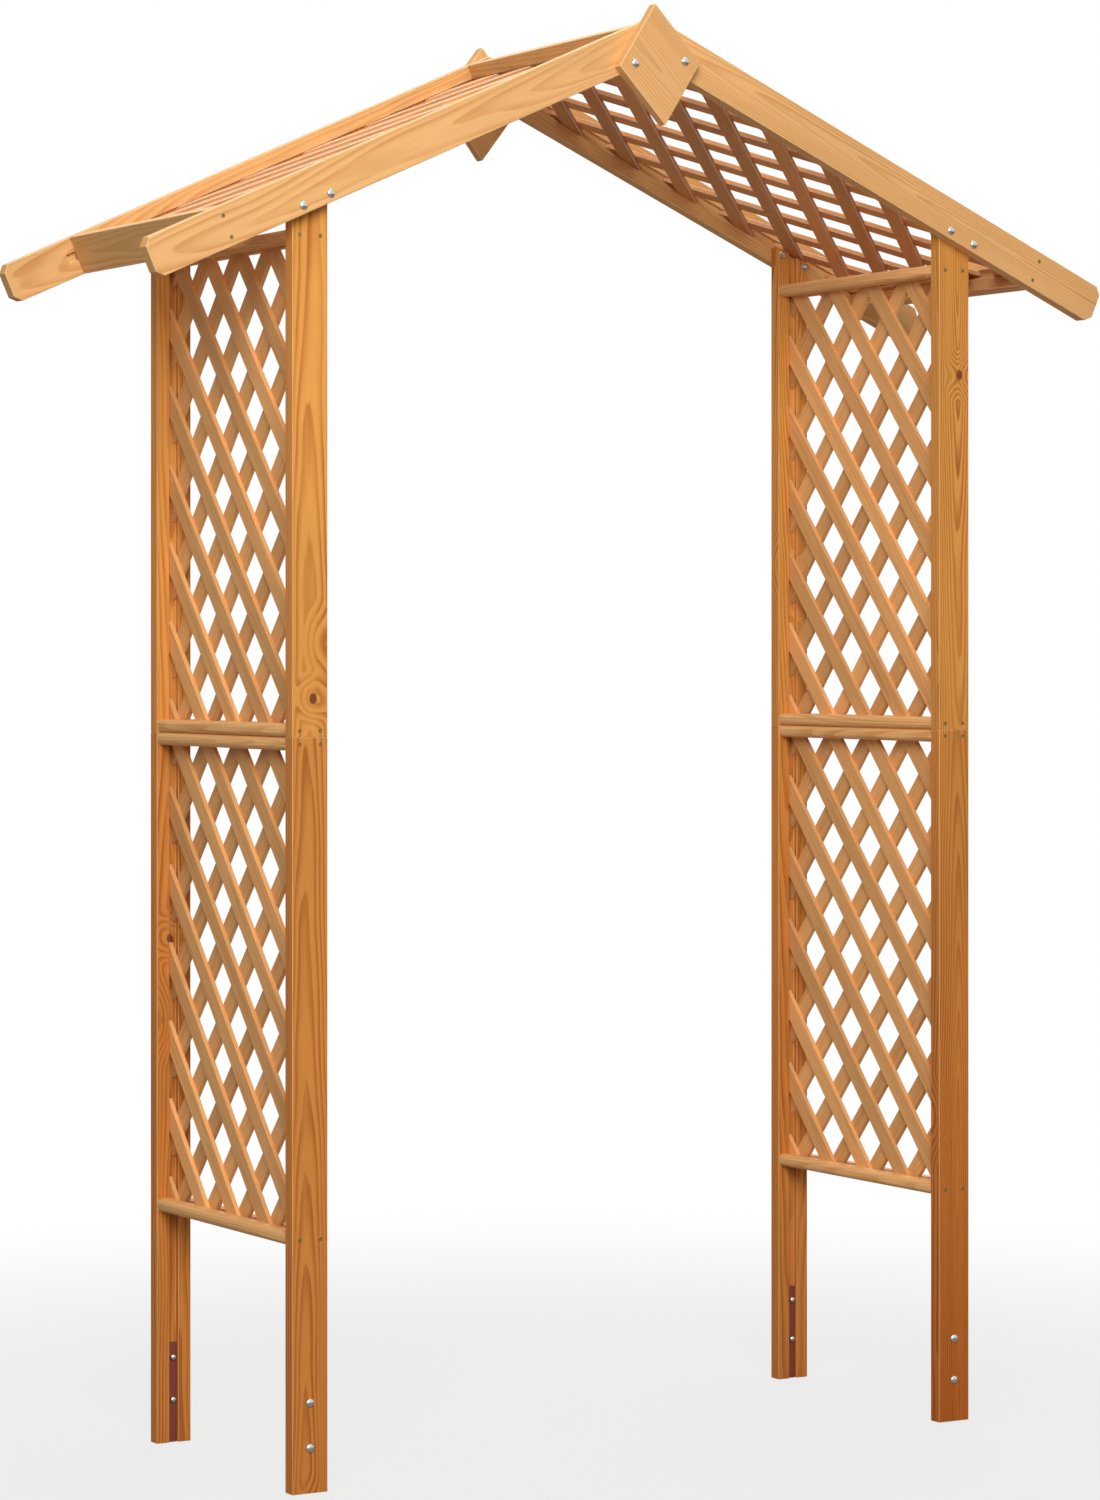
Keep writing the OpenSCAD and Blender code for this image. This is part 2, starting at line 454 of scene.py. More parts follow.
@dataclass(frozen=True)
class Slope:
    """Frame of one roof slope: down it from the apex, and square to it below the rafters' tops."""

    side: Side

    @property
    def down(self) -> Vector:
        """Direction down the slope."""
        return Vector((self.side.value * math.cos(ROOF_PITCH), 0.0, -math.sin(ROOF_PITCH)))

    @property
    def inward(self) -> Vector:
        """Direction square to the slope, towards the ground."""
        return Vector((-self.side.value * math.sin(ROOF_PITCH), 0.0, -math.cos(ROOF_PITCH)))

    @property
    def apex(self) -> Vector:
        """Point where the rafters' top edges meet, above the centre of the arch."""
        return Vector((0.0, 0.0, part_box(f"rafter_front_{self.side.word}")[1].z))

    def point(self, along: float, below: float, y: float) -> Vector:
        """Point on the slope.

        Args:
            along: Distance down the slope from the apex.
            below: Distance square to the slope, below the rafters' top edges.
            y: Place along the walkway.

        Returns:
            The point in the arch's frame.
        """
        place = self.apex + self.down * along + self.inward * below
        return Vector((place.x, y, place.z))


def set_attribute(mesh: bpy.types.Mesh, name: str, kind: str, domain: str, values: Sequence[float]) -> None:
    """Writes one attribute of a mesh.

    Args:
        mesh: The mesh.
        name: Name of the attribute.
        kind: FLOAT or FLOAT_VECTOR.
        domain: POINT or FACE.
        values: Flat list of the numbers.
    """
    if name in mesh.attributes:
        mesh.attributes.remove(mesh.attributes[name])
    layer = mesh.attributes.new(name, kind, domain)
    layer.data.foreach_set("vector" if kind == "FLOAT_VECTOR" else "value", values)


def place_piece(
    mesh: bpy.types.Mesh, name: str, nodes: Iterable[str] = ()
) -> bpy.types.Object:
    """Makes a mesh a piece of the arch.

    Args:
        mesh: The mesh, already in the arch's frame.
        name: Name of the piece.
        nodes: CAD nodes that it stands for.

    Returns:
        The new object.
    """
    mesh.name = name
    piece = bpy.data.objects.new(name, mesh)
    bpy.context.scene.collection.objects.link(piece)
    if nodes:
        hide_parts(*nodes)
    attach(piece, "root")
    LOG.info("%s: %d faces", name, len(mesh.polygons))
    return piece


def soften(shape: bmesh.types.BMesh, width: float, steps: int) -> None:
    """Rounds the arrises of a sawn piece and marks its slanted rounded faces to be painted paler, part wear
    and part painted highlight.

    Args:
        shape: The piece, with flat faces merged.
        width: Width of the rounding.
        steps: Faces across the rounding.
    """
    arris = shape.faces.layers.float.new("arris")
    shape.normal_update()
    sharp = [
        edge
        for edge in shape.edges
        if len(edge.link_faces) == 2
        and edge.calc_length() > 4 * width
        and edge.calc_face_angle(0.0) > SHARPEST_FLAT
    ]
    rounded = bmesh.ops.bevel(
        shape,
        geom=sharp,
        offset=width,
        offset_type="OFFSET",
        segments=steps,
        profile=0.5,
        affect="EDGES",
        clamp_overlap=True,
    )
    for face in rounded["faces"]:
        face.smooth = True
        outward = face.normal
        straight = max(abs(outward.x), abs(outward.y), abs(outward.z)) > 0.999
        # slanted rounded faces are painted paler: part wear, part painted highlight
        face[arris] = 0.0 if straight else 1.0


def bleach_tops(mesh: bpy.types.Mesh, steepest: float = math.radians(30)) -> None:
    """Paints a sky highlight onto the faces that lie open to the sky, by paling them through the same
    attribute as the arrises.

    Args:
        mesh: The piece, in the arch's frame.
        steepest: Slope up to which a face counts as open to the sky.
    """
    layer = mesh.attributes["arris"].data
    for face in mesh.polygons:
        if face.normal.z > math.cos(steepest):
            # painted sky highlight: upward faces are paled
            layer[face.index].value = 0.85


@dataclass(frozen=True)
class SawnAxes:
    """Directions along the length, width and thickness of a sawn piece."""

    length: Vector
    width: Vector
    thickness: Vector


@dataclass
class TimberPiece:
    """A CAD node of solid wood, given soft arrises and its own cut of the log."""

    node: str
    axes: SawnAxes
    tone: float = 0.0
    # how much darker the piece is painted at its foot and at its head
    foot_soak: tuple[float, float] = (0.0, 0.0)
    arris_width: float = 1.3 * MM
    knot: Vector | None = None
    # roof timbers get a painted sky highlight on their upward faces
    roof: bool = False

    def shape(self) -> bpy.types.Mesh:
        """Copies the node's solid, merges its flat faces and softens its edges.

        Returns:
            A mesh in the arch's frame.
        """
        shape = bmesh.new()
        shape.from_mesh(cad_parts[self.node].data)
        bmesh.ops.remove_doubles(shape, verts=shape.verts, dist=0.02 * MM)
        bmesh.ops.dissolve_limit(shape, angle_limit=math.radians(1), verts=shape.verts, edges=shape.edges)
        for face in shape.faces:
            face.smooth = 0.03 < abs(face.normal.z) < 0.999 and "rails" in self.node
        soften(shape, self.arris_width, 3)
        mesh = bpy.data.meshes.new(self.node)
        shape.to_mesh(mesh)
        shape.free()
        return mesh

    def log_frame(self) -> tuple[Matrix, Vector]:
        """Picks how the piece was cut from its log.

        Returns:
            Rows that turn a place into log coordinates, and the shift that sets the pith.
        """
        dice = random.Random(self.node)
        lean = Matrix.Rotation(math.radians(dice.choice((-1, 1)) * dice.uniform(0.7, 2.0)), 3, "Y")
        lean = lean @ Matrix.Rotation(math.radians(dice.uniform(-0.8, 0.8)), 3, "Z")
        rows = lean @ Matrix((self.axes.length, self.axes.width, self.axes.thickness))
        pith = dice.choice((-1, 1)) * dice.uniform(22, 48) * MM
        shift = Vector((dice.uniform(0, 9), dice.uniform(-12, 12) * MM, pith))
        return rows, shift

    def dress(self, material: bpy.types.Material) -> bpy.types.Object:
        """Builds the finished piece.

        Args:
            material: Its finish.

        Returns:
            The finished object.
        """
        mesh = self.shape()
        mesh.materials.clear()
        mesh.materials.append(material)
        if self.roof:
            # painted sky highlight on the upward faces of roof timbers
            bleach_tops(mesh)
        low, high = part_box(self.node)
        centre = (low + high) / 2
        rows, shift = self.log_frame()
        grain: list[float] = []
        soak: list[float] = []
        foot, head = self.foot_soak
        for vertex in mesh.vertices:
            grain.extend(rows @ (vertex.co - centre) + shift)
            # darker towards the bottom, blended from foot to head
            soak.append(foot + (head - foot) * (vertex.co.z - low.z) / (high.z - low.z))
        set_attribute(mesh, "grain", "FLOAT_VECTOR", "POINT", grain)
        knot = rows @ (self.knot - centre) + shift if self.knot else NO_KNOT
        set_attribute(mesh, "soak", "FLOAT", "POINT", soak)
        set_attribute(mesh, "knot", "FLOAT_VECTOR", "POINT", list(knot) * len(mesh.vertices))
        set_attribute(mesh, "tone", "FLOAT", "POINT", [self.tone] * len(mesh.vertices))
        return place_piece(mesh, f"{self.node}_timber", (self.node,))


def lath_layer_group() -> bpy.types.NodeTree:
    """Builds the tree of one layer of slanting laths, clipped to a flat panel.

    Returns:
        The geometry group.
    """
    lengths = ("Width", "Length", "Pitch", "Angle", "Lath Width", "Lath Thickness", "Shift", "Rise", "Level")
    maker = new_group(
        "Lath layer",
        "GeometryNodeTree",
        dict.fromkeys(lengths, "NodeSocketFloat") | {"Rows": "NodeSocketInt", "Seed": "NodeSocketInt"},
        {"Geometry": "NodeSocketGeometry"},
    )
    given = maker.tree.nodes["Inputs"].outputs
    math_ = maker.math
    half_width = math_("DIVIDE", given["Width"], 2.0)
    half_length = math_("DIVIDE", given["Length"], 2.0)
    half_lath = math_("DIVIDE", given["Lath Width"], 2.0)
    run_x = math_("COSINE", given["Angle"])
    climb = math_("SINE", given["Angle"])
    run_y = math_("MULTIPLY", climb, given["Rise"])
    square_x = math_("MULTIPLY", run_y, -1.0)

    half_rows = math_("DIVIDE", math_("SUBTRACT", given["Rows"], 1.0), -2.0)
    first_y = math_("MULTIPLY", half_rows, given["Pitch"])
    start = maker.add("ShaderNodeCombineXYZ", {0: given["Shift"], 1: first_y}).outputs[0]
    step = maker.add("ShaderNodeCombineXYZ", {1: given["Pitch"]}).outputs[0]
    line = {"Count": given["Rows"], "Start Location": start, "Offset": step}
    rows = maker.add("GeometryNodeMeshLine", line).outputs[0]
    row_place = maker.add("GeometryNodeInputPosition").outputs[0]
    row_y = maker.add("ShaderNodeSeparateXYZ", {0: row_place}).outputs[1]
    off_centre = math_("ADD", math_("MULTIPLY", given["Shift"], square_x), math_("MULTIPLY", row_y, run_x))
    reach = math_("ADD", math_("MULTIPLY", half_width, climb), math_("MULTIPLY", half_length, run_x))
    reach = math_("ADD", reach, math_("SUBTRACT", half_lath, 6 * MM))
    beyond = math_("GREATER_THAN", math_("ABSOLUTE", off_centre), reach)
    rows = maker.add("GeometryNodeDeleteGeometry", {"Geometry": rows, "Selection": beyond}).outputs[0]

    def store(geometry: Socket, name: str, kind: str, value: Socket) -> Socket:
        """Stores a named attribute on the points of a geometry."""
        node = maker.add("GeometryNodeStoreNamedAttribute", data_type=kind, domain="POINT")
        maker.feed(node.inputs["Geometry"], geometry)
        node.inputs["Name"].default_value = name
        maker.feed(node.inputs["Value"], value)
        return node.outputs[0]

    def recall(name: str, kind: str) -> Socket:
        """Reads a named attribute."""
        node = maker.add("GeometryNodeInputNamedAttribute", data_type=kind)
        node.inputs["Name"].default_value = name
        return node.outputs[0]

    cut = maker.add("FunctionNodeRandomValue", {"Seed": given["Seed"]}, data_type="FLOAT_VECTOR")
    cut.inputs[0].default_value = (0.0, -12 * MM, 14 * MM)
    cut.inputs[1].default_value = (9.0, 12 * MM, 34 * MM)
    tint = maker.add("FunctionNodeRandomValue", {"Seed": math_("ADD", given["Seed"], 31.0)}, data_type="FLOAT")
    tint.inputs[2].default_value = -1.0
    tint.inputs[3].default_value = 1.0
    rows = store(rows, "row_y", "FLOAT", row_y)
    rows = store(rows, "cut", "FLOAT_VECTOR", cut.outputs[0])
    rows = store(rows, "tone", "FLOAT", tint.outputs[1])

    blank = maker.add("GeometryNodeMeshCube", {"Size": (2.0, 2.0, 1.0)}).outputs[0]
    corner_place = maker.add("GeometryNodeInputPosition").outputs[0]
    blank = store(blank, "corner", "FLOAT_VECTOR", corner_place)
    laths = maker.add("GeometryNodeInstanceOnPoints", {"Points": rows, "Instance": blank}).outputs[0]
    laths = maker.add("GeometryNodeRealizeInstances", {"Geometry": laths}).outputs[0]

    corner = maker.add("ShaderNodeSeparateXYZ", {0: recall("corner", "FLOAT_VECTOR")}).outputs
    aside = math_("MULTIPLY", corner[1], half_lath)
    from_x = math_("ADD", given["Shift"], math_("MULTIPLY", aside, square_x))
    from_y = math_("ADD", recall("row_y", "FLOAT"), math_("MULTIPLY", aside, run_x))

    def crossings(origin: Socket, half: Socket, run: Socket) -> tuple[Socket, Socket]:
        """Distances along a lath's edge to the panel's two sides across one axis."""
        low = math_("DIVIDE", math_("SUBTRACT", math_("MULTIPLY", half, -1.0), origin), run)
        high = math_("DIVIDE", math_("SUBTRACT", half, origin), run)
        return math_("MINIMUM", low, high), math_("MAXIMUM", low, high)

    low_x, high_x = crossings(from_x, half_width, run_x)
    low_y, high_y = crossings(from_y, half_length, run_y)
    low = math_("MAXIMUM", low_x, low_y)
    high = math_("MINIMUM", high_x, high_y)
    middle = math_("DIVIDE", math_("ADD", low, high), 2.0)
    low = math_("MINIMUM", low, middle)
    high = math_("MAXIMUM", high, middle)
    share = math_("DIVIDE", math_("ADD", corner[0], 1.0), 2.0)
    along = math_("ADD", low, math_("MULTIPLY", share, math_("SUBTRACT", high, low)))

    def kept_inside(origin: Socket, run: Socket, half: Socket) -> Socket:
        """Place along one axis, kept within the panel."""
        place = math_("ADD", origin, math_("MULTIPLY", along, run))
        return math_("MAXIMUM", math_("MINIMUM", place, half), math_("MULTIPLY", half, -1.0))

    deep = math_("MULTIPLY", corner[2], given["Lath Thickness"])
    place_x = kept_inside(from_x, run_x, half_width)
    place_y = kept_inside(from_y, run_y, half_length)
    place_z = math_("ADD", given["Level"], deep)
    place = maker.add("ShaderNodeCombineXYZ", {0: place_x, 1: place_y, 2: place_z}).outputs[0]
    laths = maker.add("GeometryNodeSetPosition", {"Geometry": laths, "Position": place}).outputs[0]
    log_place = maker.add("ShaderNodeCombineXYZ", {0: along, 1: aside, 2: deep}).outputs[0]
    log_place = maker.vector("ADD", log_place, recall("cut", "FLOAT_VECTOR"))
    laths = store(laths, "grain", "FLOAT_VECTOR", log_place)
    maker.feed(maker.tree.nodes["Outputs"].inputs[0], laths)
    return maker.tree


@dataclass
class TrellisMaker:
    """Makes flat trellis panels of two crossing layers of laths, by one Geometry Nodes tree."""

    lath_width: float = 34 * MM
    lath_thickness: float = 8.5 * MM
    pitch_long: float = 147 * MM
    pitch_cross: float = 130 * MM
    arris_width: float = 0.8 * MM

    def __post_init__(self) -> None:
        """Builds the panel's tree."""
        layer = lath_layer_group()
        shared = [item.name for item in layer.interface.items_tree if item.in_out == "INPUT"]
        shared = [name for name in shared if name not in ("Level", "Rise", "Seed")]
        inputs = {item.name: item.socket_type for item in layer.interface.items_tree if item.name in shared}
        inputs |= {"Panel Thickness": "NodeSocketFloat", "Hand": "NodeSocketFloat", "Seed": "NodeSocketInt"}
        inputs |= {"Material": "NodeSocketMaterial"}
        maker = new_group("Trellis panel", "GeometryNodeTree", inputs, {"Geometry": "NodeSocketGeometry"})
        given = maker.tree.nodes["Inputs"].outputs
        join = maker.add("GeometryNodeJoinGeometry")
        spare = maker.math("SUBTRACT", given["Panel Thickness"], given["Lath Thickness"])
        top = maker.math("DIVIDE", spare, 2.0)
        for sign in (-1.0, 1.0):
            group = maker.add("GeometryNodeGroup", node_tree=layer)
            for name in shared:
                maker.feed(group.inputs[name], given[name])
            maker.feed(group.inputs["Level"], maker.math("MULTIPLY", top, sign))
            maker.feed(group.inputs["Rise"], maker.math("MULTIPLY", given["Hand"], -sign))
            maker.feed(group.inputs["Seed"], maker.math("ADD", given["Seed"], 7.0 * sign))
            maker.tree.links.new(group.outputs[0], join.inputs[0])
        maker.end_geometry(join.outputs[0], given["Material"])
        self.tree = maker.tree

    def panel(
        self,
        width: float,
        length: float,
        thickness: float,
        shift: float,
        hand: float,
        seed: int,
        material: bpy.types.Material,
        soak: float = 0.0,
    ) -> bpy.types.Mesh:
        """Makes one panel about the origin: width along X, length along Y.

        Args:
            width: Width of the panel.
            length: Length of the panel.
            thickness: Thickness over both layers.
            shift: Place across the width of the middle crossing.
            hand: 1 where the lower layer's laths rise with X, -1 where they fall.
            seed: Seed of each lath's cut and tone.
            material: Finish of the laths.
            soak: How far the laths are painted darker; on the roof this is painted shade.

        Returns:
            The laths as one plain mesh.
        """
        angle = math.atan(self.pitch_long / self.pitch_cross)
        spare = math.ceil((length + width * math.tan(angle)) / 2 / self.pitch_long) + 1
        values = {
            "Width": width,
            "Length": length,
            "Pitch": self.pitch_long,
            "Angle": angle,
            "Lath Width": self.lath_width,
            "Lath Thickness": self.lath_thickness,
            "Shift": shift,
            "Rows": 2 * spare + 1,
            "Panel Thickness": thickness,
            "Hand": hand,
            "Seed": seed,
            "Material": material,
        }
        mesh = evaluate_tree(self.tree, values)
        shape = bmesh.new()
        shape.from_mesh(mesh)
        soften(shape, self.arris_width, 2)
        shape.to_mesh(mesh)
        shape.free()
        set_attribute(mesh, "soak", "FLOAT", "POINT", [soak] * len(mesh.vertices))
        set_attribute(mesh, "knot", "FLOAT_VECTOR", "POINT", list(NO_KNOT) * len(mesh.vertices))
        return mesh


def evaluate_tree(
    tree: bpy.types.NodeTree, values: dict[str, object], start: bpy.types.Mesh | None = None
) -> bpy.types.Mesh:
    """Runs a geometry tree and keeps its result as a plain mesh.

    Args:
        tree: The tree to run.
        values: Values of its inputs, by name.
        start: Mesh that the tree starts from, or None.

    Returns:
        The new mesh.
    """
    carrier = bpy.data.objects.new("carrier", start or bpy.data.meshes.new("carrier"))
    bpy.context.scene.collection.objects.link(carrier)
    modifier = carrier.modifiers.new("tree", "NODES")
    modifier.node_group = tree
    for item in tree.interface.items_tree:
        if item.in_out == "INPUT" and item.name in values:
            modifier[item.identifier] = values[item.name]
    carrier.update_tag()
    bpy.context.view_layer.update()
    evaluated = carrier.evaluated_get(bpy.context.evaluated_depsgraph_get())
    mesh = bpy.data.meshes.new_from_object(evaluated)
    bpy.data.objects.remove(carrier)
    return mesh


@dataclass
class SidePanels:
    """The four stacked trellis panels of the sides."""

    workshop: Workshop
    trellis: TrellisMaker
    cross_shift: float = -10 * MM
    first_seed: int = 11

    def build(self) -> None:
        """Makes each panel in the box of its CAD node."""
        turn = Matrix(((0, 0, 1, 0), (1, 0, 0, 0), (0, 1, 0, 0), (0, 0, 0, 1)))
        panels = [(side, level) for side in Side for level in ("lower", "upper")]
        for number, (side, level) in enumerate(panels):
            node = f"side_lattice_{side.word}_{level}"
            low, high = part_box(node)
            size = high - low
            seed = self.first_seed + number
            finish = self.workshop.lath_wood
            mesh = self.trellis.panel(size.y, size.z, size.x, self.cross_shift, 1.0, seed, finish)
            mesh.transform(Matrix.Translation((low + high) / 2) @ turn)
            place_piece(mesh, f"{node}_laths", (node,))


@dataclass
class RoofPanels:
    """The two trellis panels of the roof, each the other turned round."""

    workshop: Workshop
    trellis: TrellisMaker
    cross_shift: float = -24 * MM
    thickness: float = 16.5 * MM
    middle_seed: int = 41
    # painted shade: the roof laths are darkened and warmed all over
    soak: float = 0.45

    def build(self) -> None:
        """Makes each panel on its slope."""
        for side in Side:
            node = f"roof_lattice_{side.word}"
            low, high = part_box(node)
            size = high - low
            length = (size.x - self.thickness * math.sin(ROOF_PITCH)) / math.cos(ROOF_PITCH)
            mesh = self.trellis.panel(
                size.y,
                length,
                self.thickness,
                self.cross_shift,
                -1.0,
                self.middle_seed + side.value,
                self.workshop.lath_wood,
                self.soak,
            )
            centre = (low + high) / 2
            slope = Slope(side)
            across = Vector((0.0, -side.value, 0.0))
            rows = Matrix((across, slope.down, -slope.inward)).transposed().to_4x4()
            mesh.transform(Matrix.Translation(centre) @ rows)
            # painted sky highlight on the laths' upward faces
            bleach_tops(mesh)
            place_piece(mesh, f"{node}_laths", (node,))


class FixingShape(Enum):
    """Kinds of fixing on the arch."""

    DOME = "dome_heads"
    NUT = "hex_nuts"
    CAP = "cap_nuts"
    SCREW = "countersunk_screws"


@dataclass
class Fixings:
    """Bolts, nuts and screws, set out by one Geometry Nodes tree on points that face outwards."""

    workshop: Workshop
    head_radius: float = 8 * MM
    head_height: float = 4.2 * MM
    washer_radius: float = 6.6 * MM
    washer_height: float = 1.2 * MM
    nut_across: float = 10 * MM
    nut_height: float = 5 * MM
    thread_radius: float = 3 * MM
    thread_out: float = 4 * MM
    cap_radius: float = 6 * MM
    cap_height: float = 7 * MM
    screw_radius: float = 3.8 * MM
    screw_rise: float = 0.35 * MM
    round_sides: int = 28
    dome_steps: int = 7
    places: dict[FixingShape, list[tuple[Vector, Vector]]] = field(default_factory=dict)

    def add(self, kind: FixingShape, place: Vector, facing: Vector) -> None:
        """Notes one fixing.

        Args:
            kind: What it is.
            place: Point on the surface that it sits on.
            facing: Direction out of that surface.
        """
        self.places.setdefault(kind, []).append((place, facing))

    def lathe(self, profile: Sequence[tuple[float, float]], sides: int) -> bpy.types.Mesh:
        """Turns a profile of radius and height about Z.

        Args:
            profile: Points from the foot's rim to the tip on the axis.
            sides: Faces round the axis.

        Returns:
            The turned mesh.
        """
        shape = bmesh.new()
        rings = []
        for radius, height in profile[:-1]:
            ring = []
            for step in range(sides):
                angle = 2 * math.pi * step / sides
                ring.append(shape.verts.new((radius * math.cos(angle), radius * math.sin(angle), height)))
            rings.append(ring)
        tip = shape.verts.new((0, 0, profile[-1][1]))
        for low, high in zip(rings, rings[1:]):
            for step in range(sides):
                after = (step + 1) % sides
                shape.faces.new((low[step], low[after], high[after], high[step])).smooth = sides > 6
        for step in range(sides):
            shape.faces.new((rings[-1][step], rings[-1][(step + 1) % sides], tip)).smooth = sides > 6
        shape.faces.new(list(reversed(rings[0])))
        mesh = bpy.data.meshes.new("turned")
        shape.to_mesh(mesh)
        shape.free()
        return mesh

    def dome(self, radius: float, height: float, rim: float) -> bpy.types.Mesh:
        """A domed head: a short rim and a round top."""
        rise = height - rim
        angles = [math.pi / 2 * step / self.dome_steps for step in range(self.dome_steps)]
        arc = [(radius * math.cos(angle), rim + rise * math.sin(angle)) for angle in angles]
        return self.lathe([(radius, 0.0), *arc, (0.0, height)], self.round_sides)

    def joined(self, meshes: Iterable[bpy.types.Mesh]) -> bpy.types.Mesh:
        """Joins meshes into one."""
        shape = bmesh.new()
        for mesh in meshes:
            shape.from_mesh(mesh)
        result = bpy.data.meshes.new("joined")
        shape.to_mesh(result)
        shape.free()
        return result

    def fixing_mesh(self, kind: FixingShape) -> bpy.types.Mesh:
        """Makes one fixing that stands on the origin and points up.

        Args:
            kind: What it is.

        Returns:
            Its mesh.
        """
        if kind is FixingShape.DOME:
            return self.dome(self.head_radius, self.head_height, 0.7 * MM)
        washer_top = self.washer_height
        ring = [(self.washer_radius, 0.0), (self.washer_radius, washer_top), (0.0, washer_top)]
        washer = self.lathe(ring, self.round_sides)
        corner = self.nut_across / 2 / math.cos(math.pi / 6)
        top = self.washer_height + self.nut_height
        ring = [(corner, washer_top), (corner, top - 0.6 * MM), (corner - 0.8 * MM, top), (0.0, top)]
        nut = self.lathe(ring, 6)
        if kind is FixingShape.NUT:
            end = top + self.thread_out
            radius, taper = self.thread_radius, 0.5 * MM
            thread = [(radius, top), (radius, end - taper), (radius - taper, end), (0.0, end)]
            return self.joined((washer, nut, self.lathe(thread, 16)))
        if kind is FixingShape.CAP:
            return self.dome(self.cap_radius, self.cap_height, 2.2 * MM)
        return self.screw_head()

    def screw_head(self) -> bpy.types.Mesh:
        """A countersunk head with a hollow at its middle."""
        rim, low = self.screw_rise, self.screw_rise * 0.3
        profile = [(self.screw_radius, 0.0), (self.screw_radius, rim * 0.6), (self.screw_radius * 0.86, rim)]
        profile += [(self.screw_radius * 0.45, rim), (self.screw_radius * 0.32, low), (0.0, low)]
        return self.lathe(profile, 20)

    def tree(self) -> bpy.types.NodeTree:
        """Builds the tree that sets one fixing on every point, turned to face outwards.

        Returns:
            The geometry tree.
        """
        kinds = {"Geometry": "Geometry", "Fixing": "Object", "Material": "Material"}
        inputs = {name: f"NodeSocket{kind}" for name, kind in kinds.items()}
        maker = new_group("Set fixings", "GeometryNodeTree", inputs, {"Geometry": "NodeSocketGeometry"})
        given = maker.tree.nodes["Inputs"].outputs
        facing = maker.add("GeometryNodeInputNamedAttribute", data_type="FLOAT_VECTOR")
        facing.inputs["Name"].default_value = "facing"
        turn = maker.add("FunctionNodeAlignRotationToVector", {"Vector": facing.outputs[0]}, axis="Z")
        source = maker.add("GeometryNodeObjectInfo", {"Object": given["Fixing"]})
        sockets = {"Points": given["Geometry"], "Instance": source.outputs["Geometry"]}
        set_out = maker.add("GeometryNodeInstanceOnPoints", sockets | {"Rotation": turn.outputs[0]})
        maker.end_geometry(set_out.outputs[0], given["Material"])
        return maker.tree

    def build(self) -> None:
        """Makes one piece for each kind of fixing."""
        tree = self.tree()
        for kind, places in self.places.items():
            points = bpy.data.meshes.new("points")
            points.from_pydata([place for place, _ in places], [], [])
            directions = [part for _, facing in places for part in facing]
            set_attribute(points, "facing", "FLOAT_VECTOR", "POINT", directions)
            fixing = bpy.data.objects.new("fixing", self.fixing_mesh(kind))
            bpy.context.scene.collection.objects.link(fixing)
            finish = self.workshop.screw_steel if kind is FixingShape.SCREW else self.workshop.zinc
            mesh = evaluate_tree(tree, {"Fixing": fixing, "Material": finish}, points)
            bpy.data.objects.remove(fixing)
            place_piece(mesh, kind.value)


